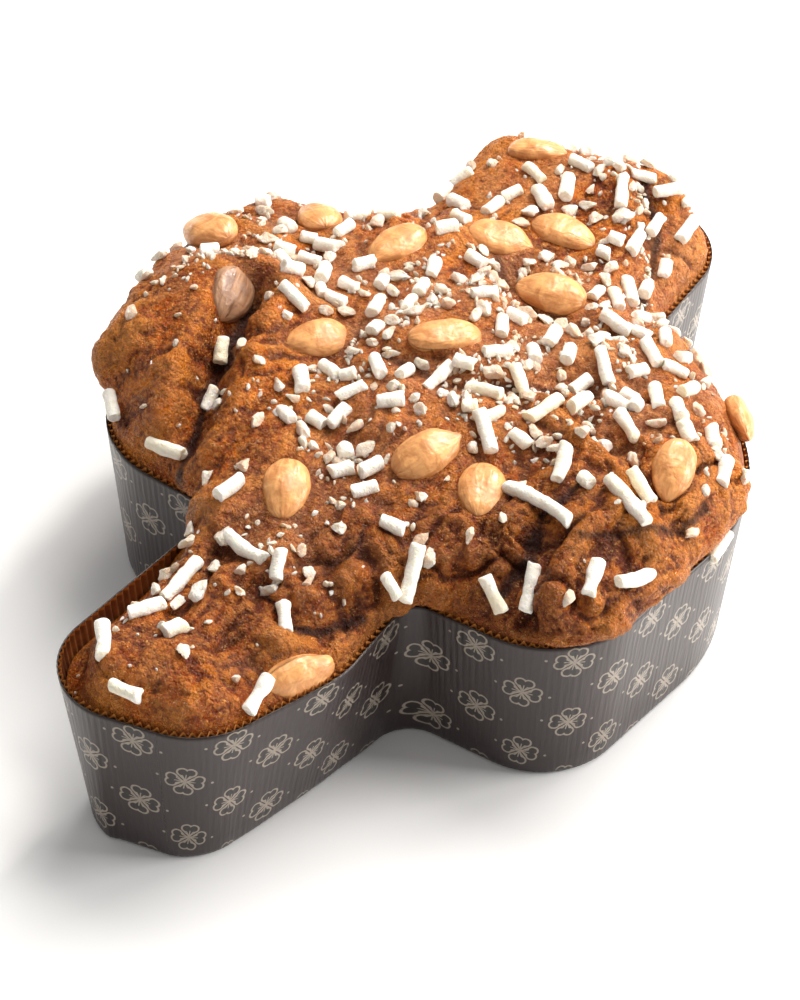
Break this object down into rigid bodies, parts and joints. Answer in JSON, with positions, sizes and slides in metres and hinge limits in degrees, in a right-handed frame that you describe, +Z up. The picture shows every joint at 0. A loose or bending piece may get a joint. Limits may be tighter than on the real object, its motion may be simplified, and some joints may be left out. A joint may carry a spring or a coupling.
{
  "type": "colomba cake",
  "caption": "Dove-shaped Easter cake in its fluted paper case, with a cracked brown crust, whole almonds and pearl sugar.",
  "frame": {"origin": "under the middle of the cake's box, on the surface that the paper case stands on", "axes": "+Z up, +Y from the narrow head of the dove to its round tail, -X and +X to its wings"},
  "size_m": [0.2207, 0.306, 0.0993],
  "materials": {
    "paper": "dark brown-grey coated baking paper with fine upright flutes and a light print",
    "crust": "stands for baked glazed crust: reddish brown, rough, with a slight sugary sheen",
    "sugar": "stands for pressed pearl sugar: off-white, chalky, slightly translucent",
    "almond": "stands for a peeled whole almond: light tan, satin, with faint lengthwise streaks"
  },
  "bodies": {
    "root": {"paper_case": "paper", "cake": "crust", "almond_01": "almond", "almond_02": "almond", "almond_03": "almond", "almond_04": "almond", "almond_05": "almond", "almond_06": "almond", "almond_07": "almond", "almond_08": "almond", "almond_09": "almond", "almond_10": "almond", "almond_11": "almond", "almond_12": "almond", "almond_13": "almond", "almond_14": "almond", "almond_15": "almond", "almond_16": "almond"}
  },
  "joints": []
}
